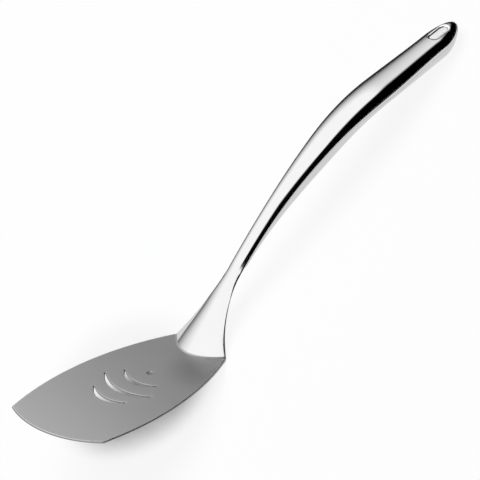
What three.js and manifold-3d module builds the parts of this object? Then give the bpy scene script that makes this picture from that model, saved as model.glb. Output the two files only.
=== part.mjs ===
// Slotted spatula, in millimetres, +Z up.
// One pressed steel sheet is the blade, the arched neck and the upper half of a hollow handle.
// A lower shell closes the handle, a sleeve lines its hanging hole, and weld runs join the three.
//
// The pieces are drawn in the blade's frame: x runs from the blade towards the handle and is 0 where
// the neck starts to bend up, y points left, and z is up from the blade's top face. "along" is the
// distance from that bend along the crown line, the middle of the top face. "across" runs from -1 at
// the right edge to 1 at the left edge. At the end the whole is laid down as it rests on a table.
import * as THREE from 'three';
import { mergeVertices } from 'three/addons/utils/BufferGeometryUtils.js';
import Module from 'manifold-3d';

const wasm = await Module();
wasm.setup();

const { clamp, degToRad, lerp, smoothstep } = THREE.MathUtils;

// Sheet metal and fits
const sheetThickness = 1.4;
const lowerWall = 1.5;
const sleeveWall = 0.8;
const clearance = 0.3;

// Blade outline: two side arcs and a front arc whose centre lies left of the middle
const bladeHalfWidth = 35.4;
const widestAhead = 57.5;
const sideRadius = 170;
const frontRadius = 55.5;
const frontCentreAhead = 51.4;
const frontSkew = 5.9;

// Slots: crescents whose two blunt ends lie on a line square to the blade, bowed towards the front edge
const slots = [
  { endsAhead: 57.0, halfSpan: 11.9, outerBow: 6.8, innerBow: 3.4 },
  { endsAhead: 43.2, halfSpan: 17.6, outerBow: 9.0, innerBow: 5.6 },
  { endsAhead: 33.5, halfSpan: 12.0, outerBow: 7.3, innerBow: 3.7 },
];
const slotEndRadius = 0.75;
const drainHoleAhead = 26.3;
const drainHoleRadius = 1.6;

// Neck: the foot of the bend is a bowed line, whose ends lag by footBow where they are at footSpan
const bendRadius = 6;
const bendAngle = degToRad(45.4);
const neckLength = 50.7;
const footBow = 7.2;
const footSpan = 15.6;
const waistHalfWidth = 4.5;
const neckTaper = 1.6;
const neckWrap = degToRad(20);

// Crown line of the handle: arcs that flatten the climb, each with its length and its last heading
const riseLength = 92;
const riseHeading = degToRad(31.1);
const shoulderLength = 49;
const shoulderHeading = degToRad(12.6);
const gripLength = 51.7;
const gripHeading = degToRad(14);
const tipLength = 18.2;
const tipFullness = 1.8;
const tipUpturn = 3.2;

// Handle sections: half-width, crown height above the seam, and depth from the crown to the belly.
// The handle is deepest at its shoulder and widest in the palm. Its edges roll down behind the waist.
const rollLength = 10;
const rolledCrown = 1.85;
const noseBehindWaist = 1.5;
const noseLength = 5;
const shoulderBeforeTip = 114.4;
const palmBeforeTip = 71.4;
const palmHalfWidth = 11.2;
const heelHalfWidth = 9.4;
const palmCrown = 6.8;
const heelCrown = 5.85;
const widthGrowth = 1.25;
const crownGrowth = 1.7;
const neckDepth = 5;
const depthStartsAhead = 12;
const shoulderDepth = 15.4;
const palmDepth = 13.5;
const heelDepth = 15.8;

// Hanging hole, measured to its middle from the handle's tip
const holeFromTip = 14.2;
const holeLength = 13.6;
const holeWidth = 4.8;

// Welds
const weldRadius = 0.4;
const weldStandsProud = 0.05;
const ringWeldWidth = 0.8;
const ringWeldDepth = 0.8;

// Facets
const acrossFacets = 12;
const tipFacets = 7;
const weldFacets = 6;
const arcFacets = 12;
const frontFacets = 40;

// Places along the crown line
const bendLength = bendRadius * bendAngle;
const waistAlong = bendLength + neckLength;
const noseAlong = waistAlong + noseBehindWaist;
const tipStart = waistAlong + riseLength + shoulderLength + gripLength;
const tipEnd = tipStart + tipLength;
const shoulderAlong = tipEnd - shoulderBeforeTip;
const palmAlong = tipEnd - palmBeforeTip;
const crownArcs = [
  { length: bendLength, heading: bendAngle },
  { length: neckLength, heading: bendAngle },
  { length: riseLength, heading: riseHeading },
  { length: shoulderLength, heading: shoulderHeading },
  { length: gripLength, heading: gripHeading },
];

// Point and heading of the crown line, which runs straight on past its last arc
function crownLine(along) {
  let x = Math.min(along, 0);
  let z = 0;
  let heading = 0;
  let left = Math.max(along, 0);
  for (const arc of crownArcs) {
    const run = Math.min(left, arc.length);
    const halfTurn = ((arc.heading - heading) * run) / arc.length / 2;
    const chord = halfTurn === 0 ? run : (run * Math.sin(halfTurn)) / halfTurn;
    x += chord * Math.cos(heading + halfTurn);
    z += chord * Math.sin(heading + halfTurn);
    heading += 2 * halfTurn;
    left -= run;
  }
  return { x: x + left * Math.cos(heading), z: z + left * Math.sin(heading), heading };
}

// How far the sheet's edge lags behind its middle where the sheet is this wide
function footLag(halfWidth) {
  return footBow * (halfWidth / footSpan) ** 2;
}

// Half-width of the blade's outline at x
function bladeOutline(x) {
  return bladeHalfWidth - sideRadius + Math.sqrt(sideRadius ** 2 - (x + widestAhead) ** 2);
}

// Half-width of the blade on the bowed line whose middle is at x
function bowedHalfWidth(x) {
  let halfWidth = bladeHalfWidth;
  for (let pass = 0; pass < 40; pass += 1) {
    halfWidth = (halfWidth + bladeOutline(x + footLag(halfWidth))) / 2;
  }
  return halfWidth;
}

// Value that grows from the waist to the palm, the later the higher its growth, and eases to the heel
function handleSize(along, atWaist, atPalm, atHeel, growth) {
  const share = clamp((along - waistAlong) / (palmAlong - waistAlong), 0, 1) ** growth;
  const grown = lerp(atWaist, atPalm, smoothstep(share, 0, 1));
  return lerp(grown, atHeel, smoothstep(along, palmAlong, tipStart));
}

// Depth of the handle from its crown to its belly
function handleDepth(along) {
  const starts = waistAlong - depthStartsAhead;
  const risen = lerp(neckDepth, shoulderDepth, smoothstep(along, starts, shoulderAlong));
  const settled = lerp(risen, palmDepth, smoothstep(along, shoulderAlong, palmAlong));
  return lerp(settled, heelDepth, smoothstep(along, palmAlong, tipStart));
}

// Rounding of the handle's tip, 1 before it and 0 at its end
function tipRound(along, length) {
  const run = clamp((along - tipStart) / length, 0, 1);
  return (1 - run ** tipFullness) ** (1 / tipFullness);
}

// How far the tip turns up from the straight line
function tipLift(along) {
  return tipUpturn * clamp((along - tipStart) / tipLength, 0, 1) ** 2;
}

// Rounding of the lower shell's nose, 0 at its front and 1 behind it
function noseRound(along) {
  const run = clamp((noseAlong + noseLength - along) / noseLength, 0, 1);
  return Math.sqrt(1 - run ** 2);
}

// Half-width and drop of the sheet: the drop is how far the edges fall below the crown line
function sheetSize(along) {
  if (along > waistAlong) {
    const rolled = smoothstep(along, waistAlong, waistAlong + rollLength);
    const crown = lerp(footLag(waistHalfWidth), rolledCrown, rolled);
    const halfWidth = handleSize(along, waistHalfWidth, palmHalfWidth, heelHalfWidth, widthGrowth);
    return { halfWidth, drop: handleSize(along, crown, palmCrown, heelCrown, crownGrowth) };
  }
  const climbed = Math.max(along, 0) / waistAlong;
  const root = bowedHalfWidth(Math.min(along, 0));
  const halfWidth = lerp(waistHalfWidth, root, (1 - climbed) ** neckTaper);
  return { halfWidth, drop: footLag(halfWidth) };
}

// Section of the part: the edges fall straight back on the blade and square to the sheet on the handle.
// edgeFacing is 1 where the sheet's edge is cut square and 0 where it has curled down to the seam.
function section(along) {
  const line = crownLine(along);
  const lift = tipLift(along);
  const x = line.x - lift * Math.sin(line.heading);
  const z = line.z + lift * Math.cos(line.heading);
  const lean = smoothstep(along, bendLength, waistAlong);
  const dropX = lerp(1, Math.sin(line.heading), lean);
  const dropZ = lerp(0, -Math.cos(line.heading), lean);
  const rolled = smoothstep(along, waistAlong, waistAlong + rollLength);
  const wrap = lerp(neckWrap, Math.PI / 2, rolled);
  const size = sheetSize(along);
  const edgeSlope = (size.drop / size.halfWidth) * (1 + Math.cos(wrap));
  const edgeFacing = Math.cos(wrap) / Math.hypot(Math.cos(wrap), edgeSlope);
  const depth = handleDepth(along) - size.drop;
  return { heading: line.heading, x, z, ...size, dropX, dropZ, wrap, edgeFacing, depth };
}

// Point on the top face of the sheet
function topPoint(along, across) {
  const at = section(along);
  const taper = tipRound(along, tipLength);
  const turn = across * at.wrap;
  const rise = (Math.cos(turn) - Math.cos(at.wrap)) / (1 - Math.cos(at.wrap));
  const fall = at.drop * (1 - taper * rise);
  const y = (at.halfWidth * taper * Math.sin(turn)) / Math.sin(at.wrap);
  return new THREE.Vector3(at.x + fall * at.dropX, y, at.z + fall * at.dropZ);
}

// Unit normal of the top face, pointing out of the metal
function topNormal(along, across) {
  const step = 0.01;
  if (along > tipEnd - 2 * step) {
    return new THREE.Vector3(Math.cos(gripHeading), 0, Math.sin(gripHeading));
  }
  const onward = topPoint(along + step, across).sub(topPoint(along - step, across));
  const leftward = topPoint(along, across + step).sub(topPoint(along, across - step));
  return onward.cross(leftward).normalize();
}

// Point on the sheet's top face moved out along its normal, or in where the height is negative
function sheetPoint(along, across, height) {
  return topPoint(along, across).addScaledVector(topNormal(along, across), height);
}

// Point in the middle of the part, this far below the seam between the two shells
function seamMiddle(along, below) {
  const at = section(along);
  const fall = sheetThickness * at.edgeFacing + below;
  return new THREE.Vector3(
    at.x + at.drop * at.dropX + fall * Math.sin(at.heading),
    0,
    at.z + at.drop * at.dropZ - fall * Math.cos(at.heading),
  );
}

// Point on the belly of the lower shell, or on a surface inset from it
function bellyPoint(along, across, inset = 0) {
  const at = section(along);
  const round = tipRound(along, tipLength - inset) * noseRound(along - inset);
  const turn = (across * Math.PI) / 2;
  const point = seamMiddle(along, (at.depth - inset) * round * Math.cos(turn));
  point.y = (at.halfWidth - inset) * round * Math.sin(turn);
  return point;
}

// Evenly spread values from one to another, both included
function spread(from, to, count) {
  return Array.from({ length: count + 1 }, (_, index) => lerp(from, to, index / count));
}

// Stations round the tip, closer together towards its end
function tipStations(inset) {
  const turns = spread(0, Math.PI / 2, tipFacets).slice(1);
  return turns.map((turn) => tipStart + (tipLength - inset) * Math.sin(turn));
}

// Stations of the handle from the lower shell's nose to the tip
function handleStations(inset) {
  const noseTurns = spread(0, Math.PI / 2, 5);
  const nose = noseTurns.map((turn) => noseAlong + inset + noseLength * (1 - Math.cos(turn)));
  const grip = spread(noseAlong + inset + noseLength, tipStart, 24).slice(1);
  return [...nose, ...grip, ...tipStations(inset)];
}

// Stations of the whole sheet, starting ahead of the front edge
function sheetStations() {
  const front = -(frontCentreAhead + frontRadius + footLag(bladeHalfWidth));
  const blade = spread(front, 0, 14);
  const bend = spread(0, bendLength, 5).slice(1);
  const neck = spread(bendLength, noseAlong, 11).slice(1, -1);
  return [...blade, ...bend, ...neck, ...handleStations(0)];
}

// Rows of points of a surface
function surfaceRows(stations, pointAt) {
  const acrosses = spread(-1, 1, acrossFacets);
  return stations.map((along) => acrosses.map((across) => pointAt(along, across)));
}

// Closed body between an upper and a lower surface with the same rows
function closedBody(upper, lower) {
  const last = upper.length - 1;
  const far = upper[0].length - 1;
  const corners = [];
  const quad = (a, b, c, d) => corners.push(a, b, c, a, c, d);
  for (let i = 0; i < last; i += 1) {
    for (let j = 0; j < far; j += 1) {
      quad(upper[i][j], upper[i + 1][j], upper[i + 1][j + 1], upper[i][j + 1]);
      quad(lower[i][j], lower[i][j + 1], lower[i + 1][j + 1], lower[i + 1][j]);
    }
    quad(upper[i][0], lower[i][0], lower[i + 1][0], upper[i + 1][0]);
    quad(upper[i][far], upper[i + 1][far], lower[i + 1][far], lower[i][far]);
  }
  for (let j = 0; j < far; j += 1) {
    quad(upper[0][j], upper[0][j + 1], lower[0][j + 1], lower[0][j]);
    quad(upper[last][j], lower[last][j], lower[last][j + 1], upper[last][j + 1]);
  }
  return solidOf(new THREE.BufferGeometry().setFromPoints(corners));
}

// Manifold solid of a closed geometry, without the triangles that shrink to a line at a pole
function solidOf(geometry) {
  const bare = new THREE.BufferGeometry();
  bare.setAttribute('position', geometry.getAttribute('position'));
  bare.setIndex(geometry.getIndex());
  const merged = mergeVertices(bare, 1e-4);
  const triangles = [];
  for (let i = 0; i < merged.index.count; i += 3) {
    const [a, b, c] = merged.index.array.slice(i, i + 3);
    if (a !== b && b !== c && c !== a) triangles.push(a, b, c);
  }
  const mesh = new wasm.Mesh({
    numProp: 3,
    vertProperties: merged.getAttribute('position').array,
    triVerts: new Uint32Array(triangles),
  });
  return new wasm.Manifold(mesh);
}

// Geometry of a manifold solid
function geometryOf(solid) {
  const mesh = solid.getMesh();
  const geometry = new THREE.BufferGeometry();
  geometry.setAttribute('position', new THREE.BufferAttribute(mesh.vertProperties, 3));
  geometry.setIndex(new THREE.BufferAttribute(mesh.triVerts, 1));
  geometry.computeVertexNormals();
  return geometry;
}

// Prism of a flat outline, standing equally above and below z = 0
function prism(shape, height, curveSegments = arcFacets) {
  const settings = { depth: height, bevelEnabled: false, curveSegments };
  return new THREE.ExtrudeGeometry(shape, settings).translate(0, 0, -height / 2);
}

// Everything ahead of the blade's front arc
function frontCutter() {
  const shape = new THREE.Shape();
  shape.absarc(-frontCentreAhead, frontSkew, frontRadius, Math.PI / 2, 1.5 * Math.PI, false);
  const farAhead = -frontCentreAhead - 2 * frontRadius - footLag(bladeHalfWidth);
  shape.lineTo(farAhead, frontSkew - frontRadius);
  shape.lineTo(farAhead, frontSkew + frontRadius);
  shape.closePath();
  return solidOf(prism(shape, 4 * sheetThickness, frontFacets));
}

// Arc through two points square to the blade, at their place and half-span, that bows ahead of them
function slotArc(place, halfSpan, bow) {
  const radius = (halfSpan ** 2 + bow ** 2) / (2 * bow);
  return { centre: place + radius - bow, radius, half: Math.asin(halfSpan / radius) };
}

// Cutter for one crescent slot with round ends
function slotCutter(slot) {
  const { endsAhead, halfSpan, outerBow, innerBow } = slot;
  const lean = Math.atan2(3, 4);
  const ahead = slotEndRadius * Math.cos(lean);
  const aside = slotEndRadius * Math.sin(lean);
  const outer = slotArc(-endsAhead - ahead, halfSpan - aside, outerBow - ahead);
  const inner = slotArc(-endsAhead + ahead, halfSpan + aside, innerBow + ahead);
  const shape = new THREE.Shape();
  shape.absarc(outer.centre, 0, outer.radius, Math.PI - outer.half, Math.PI + outer.half, false);
  shape.absarc(-endsAhead, -halfSpan, slotEndRadius, Math.PI - lean, 2 * Math.PI - lean, false);
  shape.absarc(inner.centre, 0, inner.radius, Math.PI + inner.half, Math.PI - inner.half, true);
  shape.absarc(-endsAhead, halfSpan, slotEndRadius, lean, Math.PI + lean, false);
  return solidOf(prism(shape, 4 * sheetThickness));
}

// Cutter for the small round hole behind the slots
function drainHoleCutter() {
  const shape = new THREE.Shape();
  shape.absarc(-drainHoleAhead, 0, drainHoleRadius, 0, 2 * Math.PI, false);
  return solidOf(prism(shape, 4 * sheetThickness));
}

// Prism of the hanging hole's round-ended outline, grown by a margin, through the whole handle
function holePrism(margin) {
  const radius = holeWidth / 2 + margin;
  const reach = (holeLength - holeWidth) / 2;
  const shape = new THREE.Shape();
  shape.absarc(reach, 0, radius, -Math.PI / 2, Math.PI / 2, false);
  shape.absarc(-reach, 0, radius, Math.PI / 2, 1.5 * Math.PI, false);
  const place = crownLine(tipEnd - holeFromTip);
  const turned = new THREE.Matrix4().makeRotationY(-place.heading);
  turned.setPosition(place.x, 0, place.z);
  return solidOf(prism(shape, 4 * heelDepth).applyMatrix4(turned));
}

// Round bar along a path, with a section at each of the path's points
function roundBar(points, radius) {
  const turns = spread(0, 2 * Math.PI, weldFacets).slice(0, -1);
  const corner = (turn) => new THREE.Vector2(radius * Math.cos(turn), radius * Math.sin(turn));
  const shape = new THREE.Shape(turns.map(corner));
  const extrudePath = new THREE.CatmullRomCurve3(points);
  extrudePath.getUtoTmapping = (share) => share;
  const settings = { steps: points.length - 1, extrudePath, bevelEnabled: false };
  return solidOf(new THREE.ExtrudeGeometry(shape, settings));
}

// Seam on one side, just inside the handle's surface, from the nose's front to the tip's end
const weldInset = weldRadius - weldStandsProud;
const seamStations = handleStations(weldInset);
const noseEnd = noseAlong + weldInset + noseLength;
function seamPoints(side, from, to) {
  const stations = seamStations.filter((along) => along > from && along < to);
  return stations.map((along) => bellyPoint(along, side, weldInset));
}

// Groove for the weld on one side, run on past both ends so that it meets the other side's groove
function sideGroove(side) {
  const here = seamPoints(side, 0, Infinity);
  const there = seamPoints(-side, 0, Infinity);
  return roundBar([there[1], ...here, there.at(-2)], weldRadius + clearance);
}

// Solids that several pieces share
const handleBody = closedBody(
  surfaceRows(handleStations(0), topPoint),
  surfaceRows(handleStations(0), (along, across) => bellyPoint(along, across)),
);
const seamGroove = sideGroove(1).add(sideGroove(-1));
const ringInner = sleeveWall + clearance;
const ringOuter = ringInner + ringWeldWidth;
const holeInShells = holePrism(ringOuter + clearance);
const ringPrism = holePrism(ringOuter).subtract(holePrism(ringInner));

// Blade, neck and upper half of the handle
function bladeAndUpperShell() {
  const stations = sheetStations();
  let sheet = closedBody(
    surfaceRows(stations, topPoint),
    surfaceRows(stations, (along, across) => sheetPoint(along, across, -sheetThickness)),
  );
  const cutters = [frontCutter(), ...slots.map(slotCutter), drainHoleCutter()];
  for (const cutter of [...cutters, seamGroove, holeInShells]) {
    sheet = sheet.subtract(cutter);
  }
  return sheet;
}

// Everything above the seam, less the clearance that the lower shell keeps under it
function aboveSeam() {
  const overhang = 2 * palmHalfWidth;
  const stations = [noseAlong - overhang, ...handleStations(0), tipEnd + overhang];
  const level = (below) => (along, across) => seamMiddle(along, below).setY(across * overhang);
  return closedBody(
    surfaceRows(stations, level(-overhang)),
    surfaceRows(stations, level(clearance)),
  );
}

// Belly of the handle
function lowerShell() {
  const stations = handleStations(lowerWall);
  const hollow = closedBody(
    surfaceRows(stations, topPoint),
    surfaceRows(stations, (along, across) => bellyPoint(along, across, lowerWall)),
  );
  return handleBody.subtract(aboveSeam()).subtract(hollow).subtract(seamGroove).subtract(holeInShells);
}

// Lining of the hanging hole, flush with the handle above and below
function holeSleeve() {
  return holePrism(sleeveWall).subtract(holePrism(0)).intersect(handleBody);
}

// Weld ring between the sleeve and the upper shell
function upperRingWeld() {
  const stations = handleStations(0).filter((along) => along > tipEnd - holeFromTip - holeLength);
  const skin = closedBody(
    surfaceRows(stations, topPoint),
    surfaceRows(stations, (along, across) => sheetPoint(along, across, -ringWeldDepth)),
  );
  return ringPrism.intersect(skin);
}

// Weld ring between the sleeve and the lower shell
function lowerRingWeld() {
  const stations = handleStations(ringWeldDepth);
  const inside = closedBody(
    surfaceRows(stations, topPoint),
    surfaceRows(stations, (along, across) => bellyPoint(along, across, ringWeldDepth)),
  );
  return ringPrism.intersect(handleBody).subtract(aboveSeam()).subtract(inside);
}

// Weld run along one side, ending short of the tip so that the two runs stay apart
function sideWeld(side) {
  const points = seamPoints(side, noseEnd - clearance, Infinity);
  const clearOfMiddle = points.filter((point) => Math.abs(point.y) > weldRadius + clearance);
  return roundBar(clearOfMiddle, weldRadius);
}

// Weld run round the lower shell's nose
function noseWeld() {
  const left = seamPoints(1, 0, noseEnd - clearance);
  const right = seamPoints(-1, 0, noseEnd - clearance);
  return roundBar([...left.reverse(), ...right.slice(1)], weldRadius);
}

// Finishes
const satinSteel = { color: 0xb4b6b8, roughness: 0.36, metalness: 1 };
const polishedSteel = { color: 0xd8dadc, roughness: 0.08, metalness: 1 };
const weldedSteel = { color: 0xc6c8ca, roughness: 0.16, metalness: 1 };

// Named mesh of a solid
function piece(name, solid, finish) {
  const mesh = new THREE.Mesh(geometryOf(solid), new THREE.MeshStandardMaterial(finish));
  mesh.name = name;
  return mesh;
}

// Tilt that lays the blade's heel and the handle's end on the table: the longest edge of the
// outline's lower hull, seen from the side
function restingTilt(object) {
  const points = [];
  object.traverse((mesh) => {
    if (!mesh.isMesh) return;
    const place = mesh.geometry.getAttribute('position');
    for (let i = 0; i < place.count; i += 1) points.push({ x: place.getX(i), z: place.getZ(i) });
  });
  points.sort((a, b) => a.x - b.x || a.z - b.z);
  const hull = [];
  const turnsDown = (a, b, c) => (b.x - a.x) * (c.z - a.z) - (b.z - a.z) * (c.x - a.x) <= 0;
  for (const point of points) {
    while (hull.length > 1 && turnsDown(hull.at(-2), hull.at(-1), point)) hull.pop();
    hull.push(point);
  }
  let longest = { span: 0, tilt: 0 };
  for (let i = 1; i < hull.length; i += 1) {
    const span = hull[i].x - hull[i - 1].x;
    const tilt = Math.atan2(hull[i].z - hull[i - 1].z, span);
    if (span > longest.span) longest = { span, tilt };
  }
  return longest.tilt;
}

// Assembly in the blade's frame
const spatula = new THREE.Group();
spatula.add(
  piece('blade_and_upper_shell', bladeAndUpperShell(), satinSteel),
  piece('handle_lower_shell', lowerShell(), polishedSteel),
  piece('hang_hole_sleeve', holeSleeve(), polishedSteel),
  piece('seam_weld_left', sideWeld(1), weldedSteel),
  piece('seam_weld_right', sideWeld(-1), weldedSteel),
  piece('nose_weld', noseWeld(), weldedSteel),
  piece('sleeve_weld_top', upperRingWeld(), weldedSteel),
  piece('sleeve_weld_bottom', lowerRingWeld(), weldedSteel),
);

// Laid on the table, with the middle of its footprint at the origin
spatula.rotation.y = restingTilt(spatula);
const box = new THREE.Box3().setFromObject(spatula, true);
spatula.position.set(-(box.min.x + box.max.x) / 2, -(box.min.y + box.max.y) / 2, -box.min.z);

const root = new THREE.Group();
root.add(spatula);
export default root;
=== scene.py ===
# %% [markdown]
# # A slotted steel spatula
# The spatula is a kitchen utensil made of pressed stainless steel. One sheet is the blade, the neck
# and the upper half of the handle. A second shell closes the handle from below, a sleeve lines the
# hole that it hangs from, and weld runs join them. This lesson presses each of them out of flat
# metal with bmesh operators, polishes them with node materials and sets them up in a small studio.

from math import acos, asin, atan2, cos, degrees, hypot, pi, radians, sin, sqrt

import bmesh
import bpy
from mathutils import Matrix, Vector
from mathutils.geometry import intersect_sphere_sphere_2d


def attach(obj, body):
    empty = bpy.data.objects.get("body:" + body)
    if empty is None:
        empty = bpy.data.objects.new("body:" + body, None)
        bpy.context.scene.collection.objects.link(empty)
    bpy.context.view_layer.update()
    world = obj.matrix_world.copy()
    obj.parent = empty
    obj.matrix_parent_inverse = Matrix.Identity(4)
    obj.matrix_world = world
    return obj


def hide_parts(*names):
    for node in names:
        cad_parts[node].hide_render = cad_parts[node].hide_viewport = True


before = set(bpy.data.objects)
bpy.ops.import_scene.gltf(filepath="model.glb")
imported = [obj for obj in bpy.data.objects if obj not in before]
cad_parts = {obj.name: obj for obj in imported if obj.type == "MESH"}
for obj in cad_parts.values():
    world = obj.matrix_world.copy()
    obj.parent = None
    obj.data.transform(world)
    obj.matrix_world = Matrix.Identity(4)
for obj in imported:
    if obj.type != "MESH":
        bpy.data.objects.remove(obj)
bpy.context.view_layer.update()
print("nodes of the frame:", ", ".join(sorted(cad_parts)))

# %% [markdown]
# ## The drawing
# The metal is drawn flat, in millimetres, the way a toolmaker would: x runs from the blade towards
# the handle and is 0 at the foot of the neck, y points left, and z is up from the blade's top face.
# The finished utensil lies on its heel and on its handle's end, so one matrix turns the drawing by
# that tilt and scales it to metres. Each piece is placed by that matrix as a last step.

# %% Where the drawing lies on the table
TILT = 0.5081024
REST = Matrix.Translation((-0.0823369, 0, 0.0074334))
PLACE = REST @ Matrix.Rotation(TILT, 4, "Y") @ Matrix.Scale(0.001, 4)
print("the blade rises by %.1f degrees from the table" % degrees(TILT))

# %% Sizes of the blade and the neck, in millimetres
SHEET = 1.4
BLADE_HALF_WIDTH, WIDEST_AHEAD, SIDE_RADIUS = 35.4, 57.5, 170.0
FRONT_RADIUS, FRONT_AHEAD, FRONT_SKEW = 55.5, 51.4, 5.9
FOOT_BOW, FOOT_SPAN = 7.2, 15.6
FOOT_FLAT, BEND_RADIUS, BEND_ANGLE = 1.9, 1.5, radians(45.4)
NECK, WAIST_HALF_WIDTH, NECK_TAPER, NECK_WRAP = 52.36, 4.9, 1.55, radians(20)
NECK_ARCH, ROLL_AHEAD, ROLL_LENGTH, ROLLED_DROP = 0.62, 26.0, 28.0, 1.85
BEND = FOOT_FLAT + BEND_RADIUS * BEND_ANGLE
WAIST = BEND + NECK
print("the neck is %.0f mm long from its foot to its waist" % WAIST)

# %% Sizes of the handle, in millimetres
LOWER_WALL = 1.5
RISE, SHOULDER, GRIP, TIP = 92.0, 49.0, 51.7, 18.2
RISE_ANGLE, SHOULDER_ANGLE, GRIP_ANGLE = radians(31.1), radians(12.6), radians(14.0)
PALM_BEFORE_TIP, DEEPEST_BEFORE_TIP = 71.4, 114.4
PALM_HALF_WIDTH, END_HALF_WIDTH, WIDTH_DELAY = 11.2, 9.4, 1.25
PALM_DROP, END_DROP, DROP_DELAY = 6.8, 5.85, 1.7
DEPTH_AHEAD, WAIST_DEPTH, MOST_DEPTH, PALM_DEPTH, END_DEPTH = 12, 5.0, 15.4, 13.5, 15.8
TIP_FULLNESS, TIP_UPTURN = 1.8, 3.2
NOSE_BEHIND_WAIST, NOSE_LENGTH = 1.5, 5.0
HOLE_FROM_TIP, HOLE_LENGTH, HOLE_WIDTH = 14.2, 13.6, 4.8

NOSE = WAIST + NOSE_BEHIND_WAIST
TIP_START = WAIST + RISE + SHOULDER + GRIP
TIP_END = TIP_START + TIP
PALM = TIP_END - PALM_BEFORE_TIP
DEEPEST = TIP_END - DEEPEST_BEFORE_TIP
HOLE = TIP_END - HOLE_FROM_TIP
CROWN_ARCS = ((FOOT_FLAT, 0), (BEND - FOOT_FLAT, BEND_ANGLE), (NECK, BEND_ANGLE),
              (RISE, RISE_ANGLE), (SHOULDER, SHOULDER_ANGLE), (GRIP, GRIP_ANGLE))
print("length of the sheet behind the blade: %.0f mm" % TIP_END)

# %% [markdown]
# ## The lines that the press follows
# A pressed handle has no straight edges to build from, so its form is given by a few curves: the
# crown line that runs up the middle of the top face, and the width, arch and depth of the section
# at each place along it. "along" is the distance on the crown line and "across" runs from the middle,
# 0, to the edge, 1 or -1.

# %% Crown line
def ease(value, start, end):
    share = min(max((value - start) / (end - start), 0), 1)
    return share * share * (3 - 2 * share)


def mix(a, b, share):
    return a + (b - a) * share


def crown_line(along):
    x = z = heading = 0.0
    left = along
    for length, last_heading in CROWN_ARCS:
        run = min(left, length)
        half = (last_heading - heading) * run / length / 2
        chord = run if abs(half) < 1e-9 else run * sin(half) / half
        x += chord * cos(heading + half)
        z += chord * sin(heading + half)
        heading += 2 * half
        left -= run
    return x + left * cos(heading), z + left * sin(heading), heading


print("the crown line ends %.0f mm behind the foot" % crown_line(TIP_END)[0])

# %% [markdown]
# The foot of the neck bows back into the blade, so its ends lie on the blade's side arcs. Their place
# depends on the width of the foot and the width on their place. Taking the average of the two over
# and over settles on both.

# %% Width of the foot
def foot_lag(half_width):
    return FOOT_BOW * (half_width / FOOT_SPAN) ** 2


def blade_outline(x):
    return BLADE_HALF_WIDTH - SIDE_RADIUS + sqrt(SIDE_RADIUS ** 2 - (x + WIDEST_AHEAD) ** 2)


def foot_half_width():
    half_width = BLADE_HALF_WIDTH
    for _ in range(40):
        half_width = (half_width + blade_outline(foot_lag(half_width))) / 2
    return half_width


FOOT_HALF_WIDTH = foot_half_width()
print("the foot of the neck is %.1f mm wide" % (2 * FOOT_HALF_WIDTH))

# %% [markdown]
# A section is the cut through the metal at one place along the crown line. The neck is a shallow arch
# that tapers and rolls its edges down towards the waist. From there on the upper shell is half a
# round, which widens to the palm and closes in a blunt tip.

# %% Sections
def handle_size(along, waist, palm, end, delay):
    share = min(max((along - WAIST) / (PALM - WAIST), 0), 1) ** delay
    return mix(mix(waist, palm, ease(share, 0, 1)), end, ease(along, PALM, TIP_START))


def handle_depth(along):
    risen = mix(WAIST_DEPTH, MOST_DEPTH, ease(along, WAIST - DEPTH_AHEAD, DEEPEST))
    held = mix(risen, PALM_DEPTH, ease(along, DEEPEST, PALM))
    return mix(held, END_DEPTH, ease(along, PALM, TIP_START))


class Section:
    def __init__(self, along):
        x, z, self.heading = crown_line(along)
        tip_run = min(max(along - TIP_START, 0) / TIP, 1)
        self.tip = (1 - tip_run ** TIP_FULLNESS) ** (1 / TIP_FULLNESS)
        self.x = x - TIP_UPTURN * tip_run ** 2 * sin(self.heading)
        self.z = z + TIP_UPTURN * tip_run ** 2 * cos(self.heading)
        lean = ease(along, BEND, WAIST)
        self.drop_x = mix(1, sin(self.heading), lean)
        self.drop_z = mix(0, -cos(self.heading), lean)
        rolled = ease(along, WAIST - ROLL_AHEAD, WAIST - ROLL_AHEAD + ROLL_LENGTH)
        self.wrap = mix(NECK_WRAP, pi / 2, rolled)
        if along > WAIST:
            self.half_width = handle_size(along, WAIST_HALF_WIDTH, PALM_HALF_WIDTH,
                                          END_HALF_WIDTH, WIDTH_DELAY)
            waist_drop = mix(foot_lag(WAIST_HALF_WIDTH) * (1 + NECK_ARCH), ROLLED_DROP, rolled)
            self.drop = handle_size(along, waist_drop, PALM_DROP, END_DROP, DROP_DELAY)
        else:
            left = 1 - along / WAIST
            self.half_width = mix(WAIST_HALF_WIDTH, FOOT_HALF_WIDTH, left ** NECK_TAPER)
            arched = foot_lag(self.half_width) * (1 + NECK_ARCH * along / WAIST)
            self.drop = mix(arched, ROLLED_DROP, rolled)
        slope = self.drop / self.half_width * (1 + cos(self.wrap))
        self.edge_facing = cos(self.wrap) / hypot(cos(self.wrap), slope)
        self.depth = handle_depth(along) - self.drop
        nose = min(max((NOSE + NOSE_LENGTH - along) / NOSE_LENGTH, 0), 1)
        self.nose = sqrt(1 - nose * nose)


print("the grip is %.1f mm wide at the palm" % (2 * Section(PALM).half_width))

# %% Points on the top face and on the belly
def top_point(along, across):
    at = Section(along)
    turn = across * at.wrap
    rise = (cos(turn) - cos(at.wrap)) / (1 - cos(at.wrap))
    fall = at.drop * (1 - at.tip * rise)
    y = at.half_width * at.tip * sin(turn) / sin(at.wrap)
    return Vector((at.x + fall * at.drop_x, y, at.z + fall * at.drop_z))


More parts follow.
